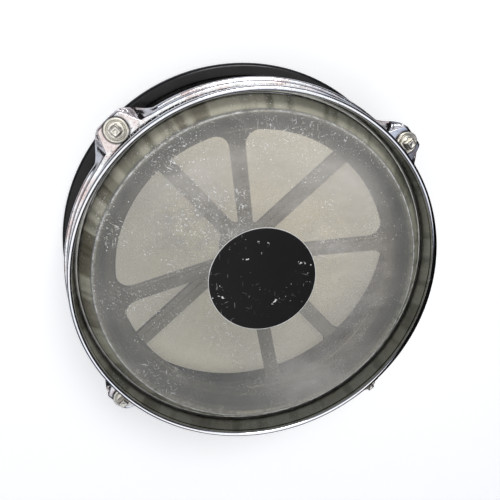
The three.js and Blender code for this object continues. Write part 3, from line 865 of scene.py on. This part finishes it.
def chrome_look():
    """Old chrome on pressed steel: smudged, and pitted where the step and the flange hold dirt. Shade is
    painted on around the washers, in the step's corner and under the lip's curl, and dark reflections are
    painted on the lip and the flange.
    """
    look = Look("old_chrome")
    lower = look.at_height(HOOP_SHOULDER + 2.5, HOOP_SHOULDER + 0.5)
    pits = look.times(look.patches(820, 3, 0.7, 0.60, 0.70), look.patches(34, 3, 0.6, 0.42, 0.62))
    grime = look.times(look.patches(240, 5, 0.7, 0.5, 0.66), look.span(lower, 0, 1, 0.25, 1.0))
    pits = look.times(pits, look.span(lower, 0, 1, 0.35, 1.0))
    tint = look.times(look.patches(46, 4, 0.65, 0.46, 0.62), look.span(lower, 0, 1, 0.12, 0.75))
    folded = look.vector("ABSOLUTE", look.place)
    offset = look.vector("SUBTRACT", folded, (abs(rod_places[0].x) * MM, abs(rod_places[0].y) * MM, 0))
    beside_rod = look.length(look.vector("MULTIPLY", offset, (1, 1, 0)))
    # painted shadow: a dark ring on the ear around each washer
    shade = look.times(look.span(beside_rod, (WASHER_RADIUS + 1.7) * MM, (WASHER_RADIUS + 0.3) * MM),
                       look.at_height(HOOP_SHOULDER + 0.4, HOOP_SHOULDER + 0.1))
    colour = look.blend(tint, (0.80, 0.81, 0.83), (0.62, 0.47, 0.44))
    colour = look.blend(look.times(grime, 0.55), colour, (0.30, 0.25, 0.22))
    colour = look.blend(pits, colour, (0.10, 0.07, 0.05))
    # painted shade in the corner where the upright wall meets the step, and under the curl of the lip
    corner = look.times(look.at_height(HOOP_SHOULDER + 1.7, HOOP_SHOULDER + 0.5),
                        look.at_radius(HOOP_WALL + 1.3, HOOP_WALL + 0.5))
    curl = look.times(look.at_height(HOOP_TOP - 4.6, HOOP_TOP - 3.8),
                      look.at_height(HOOP_TOP - 2.9, HOOP_TOP - 3.2))
    # painted reflection: dark bands on the lip and the flange along one side of the drum, standing in for a
    # dark room mirrored in the chrome
    side = look.along((0.985, -0.17, 0))
    start = (129.8 + 0.05 * HOOP_WALL) * MM
    lip = look.times(look.span(look.plus(look.radius, look.times(side, 0.05)), start, start + 0.0002),
                     look.at_height(HOOP_TOP - 6, HOOP_TOP - 4))
    flange = look.times(look.span(side, 0.095, 0.115), look.at_height(HOOP_SHOULDER - 2, HOOP_SHOULDER - 3))
    dark_reflection = look.times(look.most(lip, flange), look.patches(330, 3, 0.6, 0.22, 0.34))
    # painted shade and painted dark reflections, blended into the chrome's colour
    dark = look.most(look.times(look.most(shade, corner, curl), 0.97), dark_reflection)
    colour = look.blend(dark, colour, (0.005, 0.0045, 0.004))
    rough = look.plus(look.patches(28, 5, 0.6, 0.35, 0.75, 0.035, 0.14), look.times(scratches(look), 0.15))
    rough = look.plus(rough, look.times(dark_reflection, 0.12))
    rough = look.plus(rough, look.plus(look.times(pits, 0.5), look.times(grime, 0.18)))
    waves = look.bump(look.noise(60, 2), 0.03)
    normal = look.bump(pits, -0.08, look.bump(look.noise(700, 3), 0.004, waves))
    return look.set(Base_Color=colour, Metallic=look.span(pits, 0, 1, 1.0, 0.3), Roughness=rough,
                    Normal=normal)


def nickel_look():
    """Dull nickel plate, yellowed, with grey handling marks."""
    look = Look("nickel_plate")
    worn = look.patches(420, 4, 0.6, 0.42, 0.68)
    colour = look.blend(worn, (0.74, 0.71, 0.64), (0.52, 0.49, 0.43))
    spots = look.times(look.patches(1500, 3, 0.7, 0.62, 0.72), look.patches(160, 2, 0.5, 0.45, 0.6))
    colour = look.blend(spots, colour, (0.16, 0.12, 0.08))
    rough = look.patches(700, 4, 0.6, 0.3, 0.7, 0.2, 0.42)
    normal = look.bump(spots, -0.05, look.bump(look.noise(900, 3), 0.012))
    return look.set(Base_Color=colour, Metallic=look.span(spots, 0, 1, 1, 0.4), Roughness=rough,
                    Normal=normal)


def film_look():
    """Clear film, hazed and scuffed by playing: it lets most light through where it is clean. Its collar is
    painted lit on one side and shaded on the other, streaked with painted reflections of its pleats, and its
    marks are drawn thicker on the lit side.
    """
    look = Look("clear_film")
    lit = look.span(look.along((-0.52, 0.854, 0)), -0.12, 0.12)
    # partly painted light: the flecks, dots and scratches are real wear, but they are drawn thicker on the
    # lit side, where light picks them out
    lit_side_share = look.span(lit, 0, 0.75, 0.3, 1.0)
    cloud = look.span(look.noise(13, 5, 0.6, distortion=0.5), 0.36, 0.68)
    rubbed = look.times(look.span(look.along((0.5, 0.866, 0)), -0.055, 0.045),
                        look.at_radius(BEARING - 6, BEARING - 24))
    rubbed = look.most(rubbed, look.near((0.055, -0.062, HEAD * MM), 0.062, 0.02, 0.75))
    streaks = look.span(look.noise(17, 6, 0.68, look.stretched(-12, 2.2, 0.02)), 0.34, 0.66)
    cloudy = look.plus(look.times(cloud, 0.35), 0.18)
    played = look.most(look.near((-0.05, 0.043, HEAD * MM), 0.042, 0.012),
                       look.near((0.052, 0.03, HEAD * MM), 0.03, 0.01, 0.8))
    fleck_field = look.times(look.patches(26, 3, 0.6, 0.42, 0.58), lit_side_share)
    fleck_field = look.most(fleck_field, look.times(played, look.patches(60, 3, 0.6, 0.3, 0.45)))
    fine_flecks = look.span(look.plus(look.noise(800, 2, 0.6), look.times(played, 0.03)), 0.65, 0.685)
    broad_flecks = look.span(look.plus(look.noise(330, 4, 0.7), look.times(played, 0.03)), 0.655, 0.685)
    flecks = look.times(look.most(fine_flecks, broad_flecks), fleck_field)
    dots = look.times(specks(look, 260, 0.13, 0.45), lit_side_share)
    lines = look.times(scratches(look, 4, 0.685, 900, 7), lit_side_share)
    marks = look.most(flecks, dots, lines)
    collar = look.at_height(HEAD - 0.8, HEAD - 2.2)
    beside_crease = look.math("ABSOLUTE", look.plus(look.radius, -(BEARING - 0.1) * MM))
    crease = look.times(look.span(beside_crease, 0.0011, 0.0003), look.patches(150, 3, 0.7, 0.25, 0.6))
    around = look.vector("NORMALIZE", look.vector("MULTIPLY", look.place, (1, 1, 0)))
    pleats = look.span(look.noise(9, 1.5, 0.6, around), 0.40, 0.50)
    body = look.blend(cloud, (0.27, 0.275, 0.28), (0.38, 0.375, 0.37))
    body = look.blend(rubbed, body, look.blend(streaks, (0.36, 0.35, 0.34), (0.66, 0.635, 0.61)))
    # painted light and shade: a lit copy of the collar's colour (near) for the side toward (-0.52, 0.854) and
    # a shaded copy for the other side, each streaked by pleat noise as painted reflections of the wrinkles
    near = look.blend(pleats, (0.30, 0.29, 0.23), (0.60, 0.58, 0.47))
    shaded_collar = look.blend(pleats, (0.19, 0.19, 0.145), (0.27, 0.27, 0.21))
    brown = look.times(look.span(look.noise(4.5, 1.5, 0.5, around), 0.50, 0.53),
                       look.span(look.along((-0.85, 0.53, 0)), 0.07, 0.1))
    # the collar's colour: the painted lit and shaded copies, with dark brown patches
    rim = look.blend(look.times(brown, 0.75), look.blend(lit, shaded_collar, near), (0.10, 0.085, 0.055))
    body = look.blend(collar, body, rim)
    colour = look.blend(look.most(marks, look.times(crease, 0.75)), body, (0.85, 0.85, 0.84))
    haze = look.span(cloudy, 0, 1, 0.2, 0.56)
    haze = look.plus(haze, look.times(rubbed, look.span(streaks, 0, 1, 0.0, 0.2)))
    haze = look.plus(haze, look.times(played, look.patches(75, 5, 0.7, 0.4, 0.62, 0.0, 0.25)))
    haze = look.plus(haze, look.times(collar, 0.36))
    haze = look.most(haze, marks, look.times(crease, 0.8))
    rough = look.patches(45, 5, 0.65, 0.3, 0.7, 0.16, 0.38)
    normal = look.bump(look.noise(24, 3), 0.25, look.bump(look.plus(flecks, lines), 0.02))
    look.set(Base_Color=colour, Roughness=rough, Normal=normal, IOR=1.5, Specular_IOR_Level=0.35)
    clear = look.node("ShaderNodeBsdfTransparent", Color=(0.98, 0.955, 0.87))
    mixed = look.node("ShaderNodeMixShader")
    gloss = look.tree.nodes.new("ShaderNodeFresnel")
    gloss.inputs["IOR"].default_value = 1.3
    look.feed(mixed.inputs[0], look.math("MINIMUM", look.plus(haze, look.times(gloss.outputs[0], 0.6)), 1.0))
    look.feed(mixed.inputs[1], clear.outputs[0])
    look.feed(mixed.inputs[2], look.shader.outputs[0])
    look.feed(look.output.inputs["Surface"], mixed.outputs[0])
    return look.material


def dot_look():
    """Black film, with pale chips and scuffs and a pale cut edge."""
    look = Look("black_film")
    chips = look.times(look.patches(270, 3, 0.6, 0.66, 0.68), look.patches(62, 2, 0.5, 0.52, 0.57))
    marks = look.most(chips, specks(look, 150, 0.09, 0.13), look.times(scratches(look, 3, 0.72, 700, 8), 0.3))
    smear = look.patches(24, 5, 0.65, 0.4, 0.75)
    edge = look.at_radius(DOT_RADIUS - 0.75, DOT_RADIUS - 0.45)
    colour = look.blend(smear, (0.003, 0.0028, 0.003), (0.011, 0.01, 0.01))
    colour = look.blend(look.most(marks, edge), colour, (0.75, 0.74, 0.72))
    rough = look.span(smear, 0, 1, 0.26, 0.5)
    normal = look.bump(marks, -0.03, look.bump(look.noise(180, 4), 0.01))
    return look.set(Base_Color=colour, Roughness=rough, Normal=normal, Specular_IOR_Level=0.16)


def casting_look():
    """Dark grey paint on a casting, dusty on top and worn bright along the bearing edge, with painted
    highlights along the spokes' sides and the windows' rims.
    """
    look = Look("grey_casting")
    mottle = look.patches(90, 6, 0.65, 0.3, 0.7)
    colour = look.blend(mottle, (0.055, 0.056, 0.065), (0.095, 0.095, 0.105))
    dust = look.times(look.upward(), look.patches(38, 5, 0.65, 0.32, 0.62))
    inner = look.at_radius(UPPER_WINDOW - 0.3, 90, 0.4, 0.75)
    colour = look.blend(look.times(dust, inner), colour, (0.36, 0.35, 0.33))
    bare = look.times(look.at_height(HEAD - 2.4, HEAD - 1.4), look.patches(200, 4, 0.5, 0.3, 0.5))
    # painted highlight: bright lines along the spokes' sides near the rim
    level = look.node("ShaderNodeMapping", Vector=look.place, Rotation=(0, 0, -SPOKE_TURN))
    split = look.node("ShaderNodeSeparateXYZ", Vector=look.vector("ABSOLUTE", level.outputs[0]))
    beside = look.math("MINIMUM", split.outputs[0], split.outputs[1])
    flank = SPOKE_HALF_WIDTH
    rubbed = look.times(look.span(beside, (flank - 0.9) * MM, (flank - 0.4) * MM),
                        look.span(beside, (flank + 0.4) * MM, (flank + 0.1) * MM))
    rubbed = look.times(rubbed, look.at_radius(100, 96))
    # painted highlight: bright arcs along the windows' rims
    window_edge_highlight = look.times(look.at_radius(UPPER_WINDOW - 0.5, UPPER_WINDOW - 0.1),
                             look.at_radius(UPPER_WINDOW + 1.5, UPPER_WINDOW + 1.1))
    window_edge_highlight = look.times(window_edge_highlight, look.patches(11, 2, 0.5, 0.52, 0.62))
    rubbed = look.times(look.most(rubbed, window_edge_highlight), look.patches(90, 4, 0.7, 0.32, 0.5))
    # real wear on the bearing edge and on convex edges, joined with the painted highlights
    worn = look.most(bare, rubbed, look.times(look.edges(), look.patches(260, 4, 0.5, 0.45, 0.6)))
    colour = look.blend(worn, colour, (0.55, 0.55, 0.56))
    rough = look.plus(look.patches(420, 4, 0.5, 0.3, 0.7, 0.36, 0.52), look.times(dust, 0.2))
    normal = look.bump(look.noise(650, 3, 0.6), 0.05, look.bump(look.noise(120, 2), 0.08))
    return look.set(Base_Color=colour, Metallic=look.times(worn, 0.9), Roughness=rough, Normal=normal)


def black_paint_look():
    """Gloss black paint with orange peel, dust and grey chips along its edges. The arms' dust is laid on pale
    and thick, partly as painted light for the light seen on them through the hazy film.
    """
    look = Look("gloss_black_paint")
    chips = look.times(look.edges(0.53, 0.6), look.patches(300, 4, 0.65, 0.52, 0.6))
    chips = look.most(chips, look.patches(480, 4, 0.7, 0.74, 0.76))
    dust = look.times(look.upward(), look.patches(50, 5, 0.65, 0.42, 0.78))
    # partly painted light: the arms get pale dust all over, which is dust and also stands in for the light
    # seen on them through the hazy film
    arms = look.times(look.at_radius(LOWER_INSIDE - 3.2, LOWER_INSIDE - 7.2), look.upward(-0.2, 0.4))
    dust = look.most(dust, look.times(arms, look.patches(40, 4, 0.5, 0.2, 0.6, 0.75, 1.0)))
    colour = look.blend(look.times(dust, look.span(arms, 0, 1, 0.03, 0.97)), (0.003, 0.003, 0.0035),
                        (0.46, 0.45, 0.42))
    colour = look.blend(chips, colour, (0.42, 0.42, 0.43))
    rough = look.plus(look.patches(70, 5, 0.5, 0.3, 0.7, 0.12, 0.26),
                      look.plus(look.times(dust, 0.2), look.times(chips, 0.3)))
    normal = look.bump(look.noise(260, 2), 0.025, look.bump(chips, -0.06))
    return look.set(Base_Color=colour, Metallic=look.times(chips, 0.8), Roughness=rough, Normal=normal,
                    Coat_Weight=0.12, Coat_Roughness=0.08, Specular_IOR_Level=0.22)


def metal_look(name, light, dark, rough_low, rough_high, ring_scale=0.0):
    """A machined metal, with turning marks where ring_scale is given and dull patches of tarnish."""
    look = Look(name)
    tarnish = look.patches(130, 5, 0.65, 0.4, 0.72)
    colour = look.blend(tarnish, light, dark)
    grit = look.times(look.patches(1100, 3, 0.7, 0.62, 0.7), look.patches(90, 3, 0.5, 0.45, 0.65))
    colour = look.blend(look.times(grit, 0.8), colour, tuple(0.25 * part for part in dark))
    rough = look.span(look.noise(300, 4), 0.3, 0.7, rough_low, rough_high)
    normal = look.bump(look.noise(800, 3), 0.012)
    if ring_scale:
        at = look.node("ShaderNodeCombineXYZ", X=look.radius, Y=look.z)
        normal = look.bump(look.noise(ring_scale, 2, 0.6, at.outputs[0]), 0.02, normal)
    return look.set(Base_Color=colour, Metallic=1.0, Roughness=rough, Normal=normal)


def nylon_look():
    """Natural nylon, greased grey in use."""
    look = Look("natural_nylon")
    grease = look.patches(160, 5, 0.6, 0.45, 0.7)
    colour = look.blend(look.times(grease, 0.6), (0.72, 0.69, 0.60), (0.28, 0.25, 0.2))
    rough = look.span(grease, 0, 1, 0.5, 0.3)
    return look.set(Base_Color=colour, Roughness=rough, Normal=look.bump(look.noise(500, 3), 0.02),
                    Subsurface_Weight=0.15, Subsurface_Scale=0.002)


def floor_look():
    """A pale matt floor that glows under the drum. Chrome mirrors one side dark and the other pale."""
    look = Look("pale_floor")
    colour = look.blend(look.noise(6, 3), (0.90, 0.90, 0.90), (0.93, 0.93, 0.93))
    mirrored = look.tree.nodes.new("ShaderNodeLightPath").outputs["Is Glossy Ray"]
    side = look.span(look.along((-0.6, 0.8, 0)), 0.0, 0.12)
    seen = look.blend(side, (0.012, 0.011, 0.012), (0.75, 0.76, 0.80))
    colour = look.blend(mirrored, colour, seen)
    bright = look.times(look.span(look.along((0.65, 0.76, 0)), -0.035, 0.055), look.at_radius(124, 100))
    glow = look.blend(bright, (0.26, 0.26, 0.26), (0.54, 0.51, 0.46))
    glow = look.blend(mirrored, glow, (0, 0, 0))
    return look.set(Base_Color=colour, Roughness=0.8, Emission_Color=glow, Emission_Strength=1.0)


# ------------------------------------------------------------------ the pieces

def dress(obj, material, body, node):
    """Gives a piece its material, rounds its shading and puts it on its body in its node's place."""
    obj.data.materials.clear()
    obj.data.materials.append(material)
    normals = obj.modifiers.new("normals", "WEIGHTED_NORMAL")
    normals.keep_sharp = True
    obj.name = node + "_visual"
    obj.data.name = obj.name
    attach(obj, body)
    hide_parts(node)


chrome, nickel, film, dot = chrome_look(), nickel_look(), film_look(), dot_look()
casting, black_paint, nylon = casting_look(), black_paint_look(), nylon_look()
aluminium = metal_look("dull_aluminium", (0.62, 0.61, 0.57), (0.40, 0.39, 0.35), 0.3, 0.5)
zinc = metal_look("zinc_plate", (0.62, 0.62, 0.63), (0.42, 0.41, 0.38), 0.24, 0.42, 1500)
brass = metal_look("turned_brass", (0.72, 0.55, 0.27), (0.42, 0.30, 0.14), 0.22, 0.4, 1500)

dress(make_counterhoop(), chrome, "drum", "counterhoop")
dress(make_head_film(), film, "drum", "head_film")
dress(make_flesh_hoop(), aluminium, "drum", "flesh_hoop")
dress(make_centre_dot(), dot, "drum", "centre_dot")
dress(make_upper_frame(), casting, "bearing_frame", "upper_frame")
dress(make_lower_frame(), black_paint, "drum", "lower_frame")
dress(make_spindle(), zinc, "spindle", "spindle")
dress(make_hub_bush(), brass, "drum", "hub_bush")
dress(make_washer("thrust_washer", 6.4, 0.4), nylon, "bearing_frame", "thrust_washer")
dress(make_washer("top_washer", 6.4, 0.3), zinc, "bearing_frame", "top_washer")
dress(make_hex_nut("retaining_nut", 17, 6.4, FINE_PITCH, 0.4),
      zinc, "spindle", "retaining_nut")

for i, turn in enumerate(ROD_ANGLES):
    number = i + 1
    rod = at_rod(make_rod(), turn, turn)
    dress(rod, nickel, f"rod_{number}", f"tension_rod_{number}")
    washer = at_rod(make_rod_washer(), turn, turn)
    dress(washer, nickel, f"rod_{number}_washer", f"rod_washer_{number}")
    nut = at_rod(make_hex_nut("rod_nut_1", 10, 3.2, ROD_THREAD_PITCH, 0.3), turn, turn)
    dress(nut, zinc, "drum", f"rod_nut_{number}")


# ------------------------------------------------------------------ floor, light and camera

floor_size = 6.0
floor_mesh = bpy.data.meshes.new("floor")
corners = [(x * floor_size, y * floor_size, 0) for x, y in ((-1, -1), (1, -1), (1, 1), (-1, 1))]
floor_mesh.from_pydata(corners, [], [(0, 1, 2, 3)])
floor = linked("floor", floor_mesh)
floor.data.materials.append(floor_look())


def area_light(name, place, target, size, power):
    """A soft rectangular light, aimed at a target."""
    data = bpy.data.lights.new(name, "AREA")
    data.shape = "RECTANGLE"
    data.size, data.size_y = size
    data.energy = power
    light = linked(name, data)
    light.location = place
    light.rotation_euler = (Vector(target) - Vector(place)).to_track_quat("-Z", "Y").to_euler()


area_light("key", (0.1, 0.95, 1.2), (0, 0, 0.05), (0.6, 0.45), 8)


def studio_colour(nodes):
    """Pale overhead and dark near the horizon, darker still on one side, in soft patches."""
    dark_side = nodes.span(nodes.along((0.98, -0.2, 0)), 0.28, 1.0, 0, -1)
    level = nodes.plus(nodes.times(nodes.noise(1.6, 2), 0.9), nodes.plus(nodes.z, dark_side))
    highest = 2
    stops = (
        (0.74, (0.010, 0.009, 0.010)), (0.98, (0.07, 0.075, 0.10)),
        (1.08, (0.45, 0.52, 0.66)), (1.2, (1, 1, 1)),
    )
    ramp = nodes.node("ShaderNodeValToRGB", Fac=nodes.times(level, 1 / highest))
    elements = ramp.color_ramp.elements
    for element, (position, colour) in zip(list(elements), (stops[0], stops[-1])):
        element.position = position / highest
        element.color = (*colour, 1)
    for position, colour in stops[1:-1]:
        elements.new(position / highest).color = (*colour, 1)
    return ramp.outputs[0]


def make_world():
    """The studio's light, for chrome to show. The camera sees a plain pale background instead."""
    world = bpy.data.worlds.new("studio")
    world.use_nodes = True
    nodes = Nodes(world.node_tree, "Generated")
    background = nodes.tree.nodes["Background"]
    seen = nodes.node("ShaderNodeLightPath").outputs["Is Camera Ray"]
    shown = nodes.blend(seen, studio_colour(nodes), (0.93, 0.93, 0.93))
    nodes.feed(background.inputs["Color"], shown)
    background.inputs["Strength"].default_value = 1.25
    bpy.context.scene.world = world


make_world()
bpy.context.scene.view_settings.view_transform = "Standard"


def make_camera():
    """The camera, aimed at a point on the head's plane beside the axis."""
    aim = Vector((-11.0, 23.1, HEAD)) * MM
    distance = 0.3342
    around = math.radians(121.5)
    above = math.radians(67.2)
    roll = math.radians(150.2)
    back = Vector((math.cos(around) * math.cos(above), math.sin(around) * math.cos(above), math.sin(above)))
    data = bpy.data.cameras.new("camera")
    data.lens = 34.28
    data.sensor_width = 36.0
    data.clip_start = 0.01
    camera = linked("camera", data)
    right = Vector((-back.y, back.x, 0)).normalized()
    facing = Matrix((right, back.cross(right), back)).transposed()
    rolled = facing @ Matrix.Rotation(roll, 3, "Z")
    camera.matrix_world = Matrix.Translation(aim + back * distance) @ rolled.to_4x4()
    bpy.context.scene.camera = camera


make_camera()
